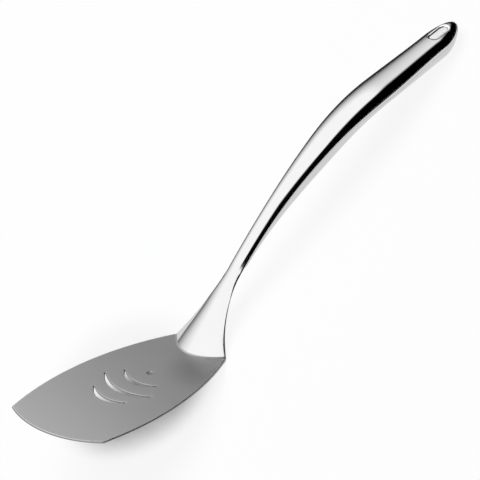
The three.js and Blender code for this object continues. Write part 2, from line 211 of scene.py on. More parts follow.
def belly_point(along, across, inset=0.0):
    at = Section(along)
    turn = across * pi / 2
    reach = at.tip * at.nose
    fall = SHEET * at.edge_facing + (at.depth - inset) * reach * cos(turn)
    return Vector((at.x + at.drop * at.drop_x + fall * sin(at.heading),
                   (at.half_width - inset) * reach * sin(turn),
                   at.z + at.drop * at.drop_z - fall * cos(at.heading)))


print("highest point of the crown: %.1f mm above the blade" % top_point(TIP_START, 0).z)

# %% [markdown]
# ## The hanging hole in the pressings
# The hole has round ends. Cutting it out with a boolean would leave ragged faces that a mirror finish
# shows at once. Instead the middle line of each pressing opens like a slit: where the hole is, the
# left and right halves start at the rim and not at the middle, so the rim is a clean row of edges.

# %% Opening of the hole, and the stations that follow its rim
RIM_MARGIN = 1.9


def hole_half_opening(along, margin):
    radius = HOLE_WIDTH / 2 + margin
    past_straight = max(abs(along - HOLE) - (HOLE_LENGTH - HOLE_WIDTH) / 2, 0)
    return sqrt(max(radius * radius - past_straight * past_straight, 0))


def across_at(along, y):
    at = Section(along)
    return asin(min(y / max(at.half_width * at.tip, 1e-6), 1)) / (pi / 2)


def rim_across(along):
    return across_at(along, hole_half_opening(along, RIM_MARGIN)) if along > PALM else 0


def spread(start, end, count):
    return [mix(start, end, i / count) for i in range(count + 1)]


def tip_stations(margin):
    radius = HOLE_WIDTH / 2 + margin
    reach = (HOLE_LENGTH - HOLE_WIDTH) / 2
    front = [HOLE - reach - radius * cos(turn) for turn in spread(0, pi / 2, 8)]
    straight = spread(HOLE - reach, HOLE + reach, 8)[1:]
    back = [HOLE + reach + radius * sin(turn) for turn in spread(0, pi / 2, 8)][1:]
    last = asin((back[-1] - TIP_START) / TIP)
    end = [TIP_START + TIP * sin(turn) for turn in spread(last, pi / 2, 10)][1:]
    return front + straight + back + end


print("the hole opens over %.1f x %.1f mm" % (HOLE_LENGTH, HOLE_WIDTH))

# %% [markdown]
# ## Pressing a row of edges forward
# Both pressings grow the same way. A row of edges is extruded to the next station, and each new vertex
# moves to its point on the form. The new vertices come back from the operator in no promised order, so
# each one looks up the vertex that it grew from.

# %% The press
COLUMNS = 16


def chain(bm, points):
    verts = [bm.verts.new(point) for point in points]
    for a, b in zip(verts, verts[1:]):
        bm.edges.new((a, b))
    return verts


def grow(bm, row, edges):
    made = bmesh.ops.extrude_edge_only(bm, edges=edges)["geom"]
    grown = {}
    for vert in made:
        if isinstance(vert, bmesh.types.BMVert):
            for edge in vert.link_edges:
                grown.setdefault(edge.other_vert(vert), vert)
    return [grown[vert] for vert in row]


def press(bm, row, stations, point_at):
    for along in stations:
        row = grow(bm, row, [bm.edges.get((a, b)) for a, b in zip(row, row[1:])])
        for column, vert in enumerate(row):
            vert.co = point_at(along, column / COLUMNS)


print("each half is pressed with %d columns" % COLUMNS)

# %% [markdown]
# ## From a bmesh to a finished piece
# A finished piece is laid on the table by moving its vertices, so that its object stays at the origin,
# unturned and unscaled. It rides on the utensil's only body, because nothing on a spatula moves.

# %% Finish a piece
def finished(bm, name, node, smooth_angle=40):
    bmesh.ops.transform(bm, matrix=PLACE, verts=bm.verts)
    mesh = bpy.data.meshes.new(name)
    bm.to_mesh(mesh)
    bm.free()
    mesh.shade_smooth()
    mesh.set_sharp_from_angle(angle=radians(smooth_angle))
    piece = bpy.data.objects.new(name, mesh)
    bpy.context.scene.collection.objects.link(piece)
    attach(piece, "root")
    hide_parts(node)
    print("%s: %d faces" % (name, len(mesh.polygons)))
    return piece


# %% [markdown]
# ## Blade, neck and upper shell
# On the real utensil this is one blank: the blade is cut to its outline, the slots are punched, and the
# neck and the upper half of the handle are pressed out of the strip behind it. The outline is drawn by
# swinging single vertices round their arc centres with the spin operator, which extrudes a vertex into
# a run of edges. The edges are then filled, and the foot line of the blade is pressed on to the tip.

# %% Outline of the blade
SIDE_STEPS, FRONT_STEPS = 40, 36


def spun(bm, vert, centre, angle, steps):
    made = bmesh.ops.spin(bm, geom=[vert], cent=centre, axis=(0, 0, 1), angle=angle, steps=steps)
    return [item for item in made["geom_last"] if isinstance(item, bmesh.types.BMVert)][0]


def swing(bm, vert, centre, end, steps):
    centre = Vector((centre[0], centre[1], 0))
    start, goal = vert.co - centre, Vector((end[0], end[1], 0)) - centre
    angle = atan2(start.x * goal.y - start.y * goal.x, start.dot(goal))
    return spun(bm, vert, centre, angle, steps)


def side_centre(side):
    return (-WIDEST_AHEAD, side * (BLADE_HALF_WIDTH - SIDE_RADIUS))


def corner(side):
    front_centre = (-FRONT_AHEAD, FRONT_SKEW)
    hits = intersect_sphere_sphere_2d(side_centre(side), SIDE_RADIUS, front_centre, FRONT_RADIUS)
    return max(hits, key=lambda hit: side * hit[1] - hit[0])


def draw_outline(bm):
    acrosses = [1 - i / COLUMNS for i in range(2 * COLUMNS + 1)]
    foot = chain(bm, [top_point(0, across) for across in acrosses])
    left = swing(bm, foot[0], side_centre(1), corner(1), SIDE_STEPS)
    front = swing(bm, left, (-FRONT_AHEAD, FRONT_SKEW), corner(-1), FRONT_STEPS)
    last = swing(bm, front, side_centre(-1), foot[-1].co, SIDE_STEPS)
    bmesh.ops.pointmerge(bm, verts=[last, foot[-1]], merge_co=foot[-1].co)


blank = bmesh.new()
draw_outline(blank)
print("outline of the blade: %d edges" % len(blank.edges))

# %% [markdown]
# The slots are crescents with blunt ends, punched so that fat and water run off. Each one is a long
# arc ahead, a half turn round its end, a flatter arc back, and another half turn. A slot is given by
# how far its ends lie ahead of the foot, half its span, and the bow of its outer and its inner arc.

# %% Slots and drain hole
SLOTS = ((57.0, 11.7, 6.5, 3.7), (43.2, 17.4, 8.7, 5.9), (33.5, 11.8, 7.0, 4.0))
SLOT_END = 0.75
END_AHEAD, END_ASIDE = SLOT_END * 0.8, SLOT_END * 0.6
ARC_STEPS, END_STEPS = 28, 7
DRAIN_AHEAD, DRAIN_RADIUS = 26.3, 1.6


def bow_centre(ends_x, half_span, bow):
    radius = (half_span ** 2 + bow ** 2) / (2 * bow)
    return (ends_x + radius - bow, 0)


def draw_slot(bm, ends_ahead, half_span, outer_bow, inner_bow):
    outer_x, inner_x = -ends_ahead - END_AHEAD, -ends_ahead + END_AHEAD
    outer_span, inner_span = half_span - END_ASIDE, half_span + END_ASIDE
    middle_x, middle_y = (outer_x + inner_x) / 2, (outer_span + inner_span) / 2
    outer = bow_centre(outer_x, outer_span, outer_bow - END_AHEAD)
    inner = bow_centre(inner_x, inner_span, inner_bow + END_AHEAD)
    first = bm.verts.new((outer_x, outer_span, 0))
    vert = swing(bm, first, outer, (outer_x, -outer_span), ARC_STEPS)
    vert = spun(bm, vert, (middle_x, -middle_y, 0), pi, END_STEPS)
    vert = swing(bm, vert, inner, (inner_x, inner_span), ARC_STEPS)
    vert = spun(bm, vert, (middle_x, middle_y, 0), pi, END_STEPS)
    bmesh.ops.pointmerge(bm, verts=[vert, first], merge_co=first.co)


for slot in SLOTS:
    draw_slot(blank, *slot)
drain = Matrix.Translation((-DRAIN_AHEAD, 0, 0))
bmesh.ops.create_circle(blank, segments=24, radius=DRAIN_RADIUS, matrix=drain)
bmesh.ops.triangle_fill(blank, use_beauty=True, edges=blank.edges[:], normal=(0, 0, 1))
print("flat blade: %d faces" % len(blank.faces))

# %% [markdown]
# The neck rises from the blade at a sharp bend and runs without a joint into the upper shell. It could
# be a lofted surface between curves, but pressing it on from the blade's own foot line keeps the blade
# and the neck one sheet. The stations lie closer where the form turns: in the bend and at the waist.

# %% Press the neck and the upper shell out of the foot line
WAIST_BEFORE, WAIST_BEHIND = 2, 4


def upper_point(side):
    def point_at(along, share):
        return top_point(along, side * mix(rim_across(along), 1, share))
    return point_at


def foot_row(bm, side):
    row = []
    for column in range(COLUMNS + 1):
        goal = top_point(0, side * column / COLUMNS)
        row.append(min(bm.verts, key=lambda vert: (vert.co - goal).length_squared))
    return row


rim_stations = tip_stations(RIM_MARGIN)
bend_stations = spread(0, FOOT_FLAT, 2)[1:] + spread(FOOT_FLAT, BEND, 8)[1:]
neck_stations = spread(BEND, WAIST - WAIST_BEFORE, 25)[1:]
roll_stations = spread(WAIST - WAIST_BEFORE, WAIST + WAIST_BEHIND, 12)[1:]
grip_stations = spread(WAIST + WAIST_BEHIND, rim_stations[0], 62)[1:-1]
upper_stations = bend_stations + neck_stations + roll_stations + grip_stations + rim_stations
for side in (1, -1):
    press(blank, foot_row(blank, side), upper_stations, upper_point(side))
bmesh.ops.remove_doubles(blank, verts=blank.verts, dist=0.002)
bmesh.ops.recalc_face_normals(blank, faces=blank.faces)
print("pressed sheet: %d faces" % len(blank.faces))

# %% [markdown]
# Punching leaves a burr, so the rim of a blade and its slots are rounded off by hand or in a tumbler.
# The small round edge catches a line of light, so it is a real bevel and not a trick of the shading.
# The slots have a smaller one than the rim, and the handle's seam has none, because the weld is there.

# %% Give the sheet its thickness and ease its edges
SHARP = radians(50)
SLOT_EASE, RIM_EASE, RIM_STOPS = (0.5, 4), (0.65, 5), 1.5
SLOTS_FRONT, SLOTS_BACK, SLOTS_HALF_WIDTH = -66, -20, 19.5


def on_slot(edge):
    middle = (edge.verts[0].co + edge.verts[1].co) / 2
    return SLOTS_FRONT < middle.x < SLOTS_BACK and abs(middle.y) < SLOTS_HALF_WIDTH


def on_blade_rim(edge):
    middle = (edge.verts[0].co + edge.verts[1].co) / 2
    return not on_slot(edge) and middle.x < crown_line(NOSE)[0] - RIM_STOPS


def ease_edges(bm, chosen, radius, segments):
    edges = [edge for edge in bm.edges
             if len(edge.link_faces) == 2 and edge.calc_face_angle() > SHARP and chosen(edge)]
    bmesh.ops.bevel(bm, geom=edges, offset=radius, offset_type="OFFSET", segments=segments,
                    profile=0.5, affect="EDGES", clamp_overlap=False, material=-1)
    print("eased %d edges" % len(edges))


blank.faces.ensure_lookup_table()
if blank.faces[0].normal.z < 0:
    bmesh.ops.reverse_faces(blank, faces=blank.faces)
bmesh.ops.solidify(blank, geom=blank.faces[:], thickness=SHEET)
bmesh.ops.recalc_face_normals(blank, faces=blank.faces)
ease_edges(blank, on_slot, *SLOT_EASE)
ease_edges(blank, on_blade_rim, *RIM_EASE)
heights = [vert.co.z for vert in blank.verts if vert.co.x < SLOTS_BACK]
print("blade from z %.2f to %.2f mm" % (min(heights), max(heights)))
sheet = finished(blank, "blade_and_neck", "blade_and_upper_shell", 30)

# %% [markdown]
# ## Lower shell
# The belly of the handle is a second pressing with a blunt round nose. It starts as a row of edges at
# the nose, where all columns meet in one point, and is pressed along to the tip. Its rim stays just
# below the seam, where the weld run closes the gap.

# %% Press the lower shell
SEAM_GAP = 0.12
HANDLE_SLOPE = 0.3


def lower_point(side):
    def point_at(along, share):
        seam_across = acos(SEAM_GAP / Section(along).depth) / (pi / 2)
        return belly_point(along, side * mix(rim_across(along), seam_across, share))
    return point_at


def lowness(face):
    centre = face.calc_center_median()
    return centre.z - HANDLE_SLOPE * centre.x


shell = bmesh.new()
nose_turns = spread(0, pi / 2, 10)
nose_stations = [NOSE + NOSE_LENGTH * (1 - cos(turn)) for turn in nose_turns]
belly_stations = spread(NOSE + NOSE_LENGTH, rim_stations[0], 64)[1:-1]
for side in (1, -1):
    point_at = lower_point(side)
    row = chain(shell, [point_at(NOSE, column / COLUMNS) for column in range(COLUMNS + 1)])
    press(shell, row, nose_stations[1:] + belly_stations + rim_stations, point_at)
bmesh.ops.remove_doubles(shell, verts=shell.verts, dist=0.002)
bmesh.ops.recalc_face_normals(shell, faces=shell.faces)
if min(shell.faces, key=lowness).normal.z > 0:
    bmesh.ops.reverse_faces(shell, faces=shell.faces)
bmesh.ops.solidify(shell, geom=shell.faces[:], thickness=LOWER_WALL)
bmesh.ops.recalc_face_normals(shell, faces=shell.faces)
lower_shell = finished(shell, "handle_belly", "handle_lower_shell")

# %% [markdown]
# ## Sleeve of the hanging hole
# The sleeve is a short tube with flared rims that roll over onto the two shells. A ring of edges round
# the hole is extruded along the sleeve's profile: over the top rim, down the wall, over the bottom rim
# and back up on the hidden outside, where the last ring is bridged to the first.

# %% Places round the hole
RING = 64


def ring_place(index, margin):
    radius = HOLE_WIDTH / 2 + margin
    reach = (HOLE_LENGTH - HOLE_WIDTH) / 2
    round_part = pi * radius
    length = 2 * round_part + 4 * reach
    walked = (index / RING) * length
    for turn_start, centre in ((-pi / 2, reach), (pi / 2, -reach)):
        if walked < round_part:
            turn = turn_start + walked / radius
            return centre + radius * cos(turn), radius * sin(turn)
        walked -= round_part
        if walked < 2 * reach:
            side = 1 if centre > 0 else -1
            return side * (reach - walked), side * radius
        walked -= 2 * reach
    return reach, -radius


def ring_point(index, margin, sink, below):
    u, y = ring_place(index, margin)
    along = HOLE + u
    across = (1 if y > 0 else -1) * across_at(along, abs(y))
    heading = crown_line(HOLE)[2]
    axis = Vector((-sin(heading), 0, cos(heading)))
    top = top_point(along, across) - axis * sink
    bottom = belly_point(along, across) + axis * sink
    return top.lerp(bottom, below)


depth = (ring_point(0, 0, 0, 0) - ring_point(0, 0, 0, 1)).length
print("the handle is %.1f mm thick at the hole" % depth)

# %% Roll the sleeve
ROLL = 1.2
OUTSIDE = [(ROLL, 0.5, 1), (0.8, 1.6, 1), (0.8, 1.6, 0), (ROLL, 0.5, 0)]


def grow_ring(bm, ring, edges):
    ring = grow(bm, ring, edges)
    return ring, [bm.edges.get((a, b)) for a, b in zip(ring, ring[1:] + ring[:1])]


def sleeve_profile():
    rolls = [(ROLL - ROLL * sin(turn), ROLL - ROLL * cos(turn)) for turn in spread(0, pi / 2, 6)]
    top = [(margin, sink, 0) for margin, sink in rolls]
    wall = [(0, ROLL, i / 6) for i in range(1, 6)]
    bottom = [(margin, sink, 1) for margin, sink in reversed(rolls)]
    return top + wall + bottom + OUTSIDE


tube = bmesh.new()
profile = sleeve_profile()
ring = bmesh.ops.create_circle(tube, segments=RING, radius=1)["verts"]
for index, vert in enumerate(ring):
    vert.co = ring_point(index, *profile[0])
first_edges = edges = tube.edges[:]
for margin, sink, below in profile[1:]:
    ring, edges = grow_ring(tube, ring, edges)
    for index, vert in enumerate(ring):
        vert.co = ring_point(index, margin, sink, below)
bmesh.ops.bridge_loops(tube, edges=first_edges + edges)
bmesh.ops.recalc_face_normals(tube, faces=tube.faces)
sleeve = finished(tube, "hole_sleeve", "hang_hole_sleeve", 50)

# %% [markdown]
# ## Weld runs
# The welds are ground flush, so they show as hairlines. Each one is a thin round bead that follows
# its seam just under the surface: a small circle is extruded from place to place along the seam. A
# curve with a bevel could do it too, but this way the bead's ends are closed with the same operators.

# %% A bead along a path
BEAD_SIDES = 8


def bead(name, node, points, radius, closed=False):
    bm = bmesh.new()
    count = len(points)
    places = []
    for i, point in enumerate(points):
        before = points[i - 1] if closed or i else point
        after = points[(i + 1) % count] if closed or i < count - 1 else point
        turn = (after - before).to_track_quat("Z", "Y").to_matrix().to_4x4()
        places.append(Matrix.Translation(point) @ turn)
    ring = bmesh.ops.create_circle(bm, segments=BEAD_SIDES, radius=radius, cap_ends=False,
                                   matrix=places[0])["verts"]
    first_edges = edges = bm.edges[:]
    for i in range(1, count):
        moved = places[i] @ places[i - 1].inverted()
        positions = [moved @ vert.co for vert in ring]
        ring, edges = grow_ring(bm, ring, edges)
        for vert, position in zip(ring, positions):
            vert.co = position
    if closed:
        bmesh.ops.bridge_loops(bm, edges=first_edges + edges)
    else:
        bmesh.ops.holes_fill(bm, edges=bm.edges[:], sides=BEAD_SIDES)
    bmesh.ops.recalc_face_normals(bm, faces=bm.faces)
    return finished(bm, name, node, 60)


print("a bead has %d sides" % BEAD_SIDES)

# %% Lay the beads
BEAD = 0.3
BEAD_BEHIND_NOSE, RING_MARGIN, RING_SINK = 0.4, 1.55, 0.3
side_stations = spread(NOSE + NOSE_LENGTH + BEAD_BEHIND_NOSE, TIP_START, 60) + [
    TIP_START + (TIP - BEAD) * sin(turn) for turn in spread(0, pi / 2, 22)[1:-1]]
beads = [bead("seam_bead_%s" % word, "seam_weld_%s" % word,
              [belly_point(along, side, BEAD) for along in side_stations], BEAD)
         for word, side in (("left", 1), ("right", -1))]
nose_path = [belly_point(NOSE + BEAD + NOSE_LENGTH * (1 - cos(turn)), 1, BEAD)
             for turn in reversed(nose_turns)]
nose_path += [Vector((point.x, -point.y, point.z)) for point in reversed(nose_path[:-1])]
beads.append(bead("nose_bead", "nose_weld", nose_path, BEAD))
for word, below in (("top", 0), ("bottom", 1)):
    points = [ring_point(index, RING_MARGIN, RING_SINK, below) for index in range(RING)]
    beads.append(bead("hole_bead_%s" % word, "sleeve_weld_%s" % word, points, BEAD, closed=True))
print("laid %d beads" % len(beads))

# %% [markdown]
# ## Nodes for the finishes
# The same few nodes come back in every finish: noise, a range, a mix. Small helpers make them, so that
# a finish reads like a recipe. A Mapping node turns Object coordinates into the blade's own drawing,
# in metres, so that a pattern follows the metal and not the table, and z is the height above the blade.

# %% Coordinates and noise
def new_material(name):
    material = bpy.data.materials.new(name)
    material.use_nodes = True
    nodes, links = material.node_tree.nodes, material.node_tree.links
    return material, nodes, links, nodes["Principled BSDF"]


def drawing_coordinates(nodes, links):
    place = nodes.new("ShaderNodeTexCoord")
    mapping = nodes.new("ShaderNodeMapping")
    mapping.vector_type = "TEXTURE"
    mapping.inputs["Location"].default_value = PLACE.translation
    mapping.inputs["Rotation"].default_value = (0, TILT, 0)
    links.new(place.outputs["Object"], mapping.inputs["Vector"])
    return mapping.outputs["Vector"]


def noise(nodes, links, vector, scale, detail=3.0, roughness=0.5):
    texture = nodes.new("ShaderNodeTexNoise")
    texture.inputs["Scale"].default_value = scale
    texture.inputs["Detail"].default_value = detail
    texture.inputs["Roughness"].default_value = roughness
    links.new(vector, texture.inputs["Vector"])
    return texture.outputs["Fac"]


def stretched_noise(nodes, links, vector, stretch, detail, roughness=0.5):
    mapping = nodes.new("ShaderNodeMapping")
    mapping.inputs["Scale"].default_value = stretch
    links.new(vector, mapping.inputs["Vector"])
    return noise(nodes, links, mapping.outputs["Vector"], 1.0, detail, roughness)


def grey(value):
    return (value, value, value * 1.004, 1)


print("the drawing starts at", [round(value, 4) for value in PLACE.translation], "m")

# %% Ranges, mixes and distances
RANGE = ("From Min", "From Max", "To Min", "To Max")
FIRST_INPUT, MIXED = {"FLOAT": 2, "RGBA": 6}, {"FLOAT": 0, "RGBA": 2}


def between(nodes, links, value, low, high, to_low, to_high, smooth=False):
    node = nodes.new("ShaderNodeMapRange")
    node.interpolation_type = "SMOOTHSTEP" if smooth else "LINEAR"
    for socket, number in zip(RANGE, (low, high, to_low, to_high)):
        node.inputs[socket].default_value = number
    links.new(value, node.inputs["Value"])
    return node.outputs["Result"]


def blended(nodes, links, share, a, b, kind="FLOAT"):
    node = nodes.new("ShaderNodeMix")
    node.data_type = kind
    links.new(share, node.inputs[0])
    for index, value in enumerate((a, b), FIRST_INPUT[kind]):
        if isinstance(value, bpy.types.NodeSocket):
            links.new(value, node.inputs[index])
        else:
            node.inputs[index].default_value = value
    return node.outputs[MIXED[kind]]


def joined(nodes, links, how, a, b):
    node = nodes.new("ShaderNodeMath")
    node.operation = how
    links.new(a, node.inputs[0])
    links.new(b, node.inputs[1])
    return node.outputs[0]


def measured(nodes, links, how, vector, other):
    node = nodes.new("ShaderNodeVectorMath")
    node.operation = how
    node.inputs[1].default_value = other
    links.new(vector, node.inputs[0])
    return node.outputs["Value"]


print("ranges, mixes and distances ready")

# %% [markdown]
# ## Polished steel
# The neck, the handle and the sleeve are polished to a mirror. A perfect mirror would look drawn,
# because real polish keeps faint lines from the wheel and some haze from the cloth. Noise stretched
# along the handle draws the lines as a very fine bump, and a softer one moves tone and roughness.

# %% Polished steel
WHEEL_LINES, SMUDGES = (120, 4000, 4000), (30, 60, 60)
POLISH_TONE, POLISH_ROUGHNESS, HAZE = 0.60, 0.05, 0.04
POLISH_BUMP, BUMP_DEPTH = 0.04, 0.00001


def bare_steel(name):
    material, nodes, links, shader = new_material(name)
    shader.inputs["Metallic"].default_value = 1.0
    bump = nodes.new("ShaderNodeBump")
    bump.inputs["Distance"].default_value = BUMP_DEPTH
    links.new(bump.outputs["Normal"], shader.inputs["Normal"])
    sockets = (shader.inputs["Base Color"], shader.inputs["Roughness"], bump.inputs["Height"])
    return material, nodes, links, sockets, bump.inputs["Strength"]


def polished_look(nodes, links, drawing, tone, roughness):
    smudge = stretched_noise(nodes, links, drawing, SMUDGES, 4.0)
    line = stretched_noise(nodes, links, drawing, WHEEL_LINES, 2.0)
    colour = blended(nodes, links, smudge, grey(tone), grey(tone + HAZE), "RGBA")
    hazy = between(nodes, links, smudge, 0.3, 0.7, roughness, roughness + HAZE)
    return colour, hazy, line


def polished_steel(name, tone, roughness):
    material, nodes, links, sockets, strength = bare_steel(name)
    drawing = drawing_coordinates(nodes, links)
    for value, socket in zip(polished_look(nodes, links, drawing, tone, roughness), sockets):
        links.new(value, socket)
    strength.default_value = POLISH_BUMP
    return material


print("polished steel is ready")

# %% [markdown]
# ## Satin steel
# The blade is satin: blasted and lightly brushed, so that it spreads reflections into a soft grey. Its
# colour gets brighter towards its front edge, which is painted light, and it has a darker spot beside
# the foot of the neck, which is painted shade. The cut edges of the rim and the slots are smoother than
# the face, and their darker tone is painted shade. One grey could not show all this, so the tone is
# mixed from the place in the drawing, and noise adds clouds and grain.

# %% Satin steel
GRAIN, CLOUDS = (700, 5200, 5200), (45, 45, 45)
# The two face tones are a shaded and a lit copy of the satin; the blend between them is painted light.
SHADED_AND_LIT_FACE_TONES = ((0.41, 0.44), (0.72, 0.76))
PAINTED_LIGHT_FRONT, PAINTED_LIGHT_BACK = -0.100, 0.010
# The cut walls' darker tone is painted shade, above all in the slot ends; their lower roughness is the
# smoother cut.
CUT_WALL_SHADE_TONE, EDGE_ROUGHNESS = 0.34, 0.26
EDGE_TOP, EDGE_BOTTOM = (-0.00010, -0.00003), (-0.00138, -0.00130)
# Painted shade: the satin is darker in a round spot on the blade beside the foot of the neck.
NECK_SHADE_PLACE, NECK_SHADE_REACH, NECK_SHADE_FACTOR = (-0.004, -0.019, 0), (0.004, 0.026), 0.74


def satin_face(nodes, links, drawing, x):
    cloud = stretched_noise(nodes, links, drawing, CLOUDS, 3.0)
    shaded_and_lit_tones = [blended(nodes, links, cloud, grey(low), grey(high), "RGBA") for low, high in SHADED_AND_LIT_FACE_TONES]
    # Painted light: the blade's colour runs from the lit tone at its front to the shaded tone at the
    # neck.
    front = between(nodes, links, x, PAINTED_LIGHT_FRONT, PAINTED_LIGHT_BACK, 1, 0)
    # A painted shade darkens the blade's colour near the foot of the neck.
    neck_shade_distance = measured(nodes, links, "DISTANCE", drawing, NECK_SHADE_PLACE)
    shade = nodes.new("ShaderNodeVectorMath")
    shade.operation = "SCALE"
    links.new(blended(nodes, links, front, *shaded_and_lit_tones, "RGBA"), shade.inputs[0])
    links.new(between(nodes, links, neck_shade_distance, *NECK_SHADE_REACH, NECK_SHADE_FACTOR, 1.0, True), shade.inputs["Scale"])
    return shade.outputs["Vector"]


def satin_look(nodes, links, drawing, x, z):
    grain = stretched_noise(nodes, links, drawing, GRAIN, 3.0, 0.6)
    below_top = between(nodes, links, z, *EDGE_TOP, 1, 0)
    above_bottom = between(nodes, links, z, *EDGE_BOTTOM, 0, 1)
    edge = joined(nodes, links, "MULTIPLY", below_top, above_bottom)
    face = satin_face(nodes, links, drawing, x)
    face_roughness = between(nodes, links, grain, 0.25, 0.75, 0.42, 0.52)
    # Painted shade: the cut walls of the rim and the slots get the darker tone.
    colour = blended(nodes, links, edge, face, grey(CUT_WALL_SHADE_TONE), "RGBA")
    return colour, blended(nodes, links, edge, face_roughness, EDGE_ROUGHNESS), grain


print("satin steel is ready")

# %% [markdown]
# ## Both finishes on one sheet
# The sheet carries both finishes, and no joint parts them: the polishing wheel reaches as far as the
# bend. So the change follows the height above the blade, and everything that rises is polished. The
# sleeve gets a brighter tone of its own, because the photograph shows the hole's lining almost white:
# this brighter tone is painted light, a lit copy of the same polished steel.

# %% Put the steel on the pieces
POLISH_START, POLISH_FULL = 0.0003, 0.0009
SATIN_BUMP = 0.25
# The sleeve's tone is painted light: a lit copy of the polished steel.
SLEEVE_PAINTED_LIGHT_TONE, SLEEVE_ROUGHNESS = 0.95, 0.08


def sheet_steel(name):
    material, nodes, links, sockets, strength = bare_steel(name)
    drawing = drawing_coordinates(nodes, links)
    split = nodes.new("ShaderNodeSeparateXYZ")
    links.new(drawing, split.inputs[0])
    x, z = split.outputs["X"], split.outputs["Z"]
    polish = between(nodes, links, z, POLISH_START, POLISH_FULL, 0, 1, True)
    satin = satin_look(nodes, links, drawing, x, z)
    polished = polished_look(nodes, links, drawing, POLISH_TONE, POLISH_ROUGHNESS)
    for a, b, socket, kind in zip(satin, polished, sockets, ("RGBA", "FLOAT", "FLOAT")):
        links.new(blended(nodes, links, polish, a, b, kind), socket)
    links.new(blended(nodes, links, polish, SATIN_BUMP, POLISH_BUMP), strength)
    return material


sheet.data.materials.append(sheet_steel("satin_and_polished_steel"))
handle_steel = polished_steel("polished_steel", POLISH_TONE, POLISH_ROUGHNESS)
for piece in (lower_shell, *beads):
    piece.data.materials.append(handle_steel)
# The brighter sleeve steel is painted light on the hole's lining.
sleeve.data.materials.append(polished_steel("sleeve_steel_painted_light", SLEEVE_PAINTED_LIGHT_TONE, SLEEVE_ROUGHNESS))
print("steel on", len(beads) + 3, "pieces")

# %% [markdown]
# ## Shading of the flat and the eased faces
# The blade is a few large flat faces next to very narrow eased edges. Plain smooth shading would let
# the narrow faces tilt the normals of the large ones. The Weighted Normal modifier gives the large
# faces the say, so the flat stays flat and the edge still rounds off.

# %% Weighted normals
for piece in (sheet, lower_shell, sleeve):
    modifier = piece.modifiers.new("flat faces lead", "WEIGHTED_NORMAL")
    modifier.mode = "FACE_AREA"
    modifier.weight = 50
    modifier.keep_sharp = True
print("weighted normals on 3 pieces")

# %% [markdown]
# ## Camera
# The photograph was taken with a long lens from the right and the front, looking down. The camera's
# three axes were worked out in the blade's drawing, and the same matrix that lays the utensil down
# carries the camera with it.

# %% Long lens
AZIMUTH, ELEVATION, DISTANCE = radians(-46.4295), radians(28.811), 1663.39
AIM, AIM_RIGHT, AIM_UP = Vector((9.5, 0, 0)), 24.618, 60.242
right = Vector((cos(AZIMUTH), sin(AZIMUTH), 0))
back = Vector((sin(AZIMUTH) * cos(ELEVATION), -cos(AZIMUTH) * cos(ELEVATION), sin(ELEVATION)))
up = back.cross(right)
eye = Matrix((right, up, back)).transposed().to_4x4()
eye.translation = (AIM + right * AIM_RIGHT + up * AIM_UP + back * DISTANCE) * 0.001
lens = bpy.data.cameras.new("long_lens")
lens.lens = 225
lens.sensor_width = 36
lens.clip_end = 50
camera = bpy.data.objects.new("camera", lens)
camera.matrix_world = PLACE @ Matrix.Scale(1000, 4) @ eye
bpy.context.scene.collection.objects.link(camera)
bpy.context.scene.camera = camera
print("camera at", [round(value, 3) for value in camera.matrix_world.translation])

# %% [markdown]
# ## Table
# Polished steel is only as good as what it mirrors, so the studio matters as much as the metal. The
# utensil lies on white paper. For the camera and in mirrors most of the paper glows with a strength of
# 1, which is white, and the rest is lit paper that keeps the shadow. The glow fades under the blade,
# so that the slots show the shade that lies there.

# %% Table
TABLE_HALF = 3.0
GLOW, SHADE_PLACE, SHADE_REACH = 0.88, (-0.108, 0.024, 0), (0.030, 0.055)


def staged(bm, name):
    mesh = bpy.data.meshes.new(name)
    bm.to_mesh(mesh)
    bm.free()
    item = bpy.data.objects.new(name, mesh)
    bpy.context.scene.collection.objects.link(item)
    return item


def white_paper():
    material, nodes, links, shader = new_material("white_paper")
    place = nodes.new("ShaderNodeTexCoord").outputs["Object"]
    fibre = noise(nodes, links, place, 400.0, 4.0)
    links.new(blended(nodes, links, fibre, grey(0.955), grey(0.975), "RGBA"),
              shader.inputs["Base Color"])
    shader.inputs["Roughness"].default_value = 0.9
    shader.inputs["Specular IOR Level"].default_value = 0.1
    path = nodes.new("ShaderNodeLightPath").outputs
    seen = joined(nodes, links, "MAXIMUM", path["Is Camera Ray"], path["Is Glossy Ray"])
    seen = joined(nodes, links, "MAXIMUM", seen, path["Is Transmission Ray"])
    away = measured(nodes, links, "DISTANCE", place, SHADE_PLACE)
    open_paper = between(nodes, links, away, *SHADE_REACH, 0, GLOW, True)
    glow = nodes.new("ShaderNodeEmission")
    glow.inputs["Color"].default_value = grey(1.0)
    sheen = nodes.new("ShaderNodeMixShader")
    links.new(joined(nodes, links, "MULTIPLY", open_paper, seen), sheen.inputs[0])
    links.new(shader.outputs[0], sheen.inputs[1])
    links.new(glow.outputs[0], sheen.inputs[2])
    links.new(sheen.outputs[0], nodes["Material Output"].inputs["Surface"])
    return material


table_bm = bmesh.new()
bmesh.ops.create_grid(table_bm, x_segments=8, y_segments=8, size=TABLE_HALF)
table = staged(table_bm, "table")
table.data.materials.append(white_paper())
print("table is %.0f m wide" % (2 * TABLE_HALF))

# %% [markdown]
# ## Room
# The room is bright overhead and dark near the horizon, and dark low down on the right, towards the
# handle's end. The bright part turns the top of the handle white, and the dark part draws a black band
# along its flank. A world of one colour would make the handle look like grey plastic. "past" is 1 on
# the far side of a plane and 0 on the near side, with a soft step between.

# %% Room
MIRRORED_LIGHT = 1.48
HORIZON, OVERHEAD = (-0.06, 0.60, 0.02, 1.0), (0.25, 0.85, 0.04, 0.50)


def past(nodes, links, vector, direction, start, soft):
    run = measured(nodes, links, "DOT_PRODUCT", vector, direction)
    return between(nodes, links, run, start - soft, start + soft, 0.0, 1.0, True)


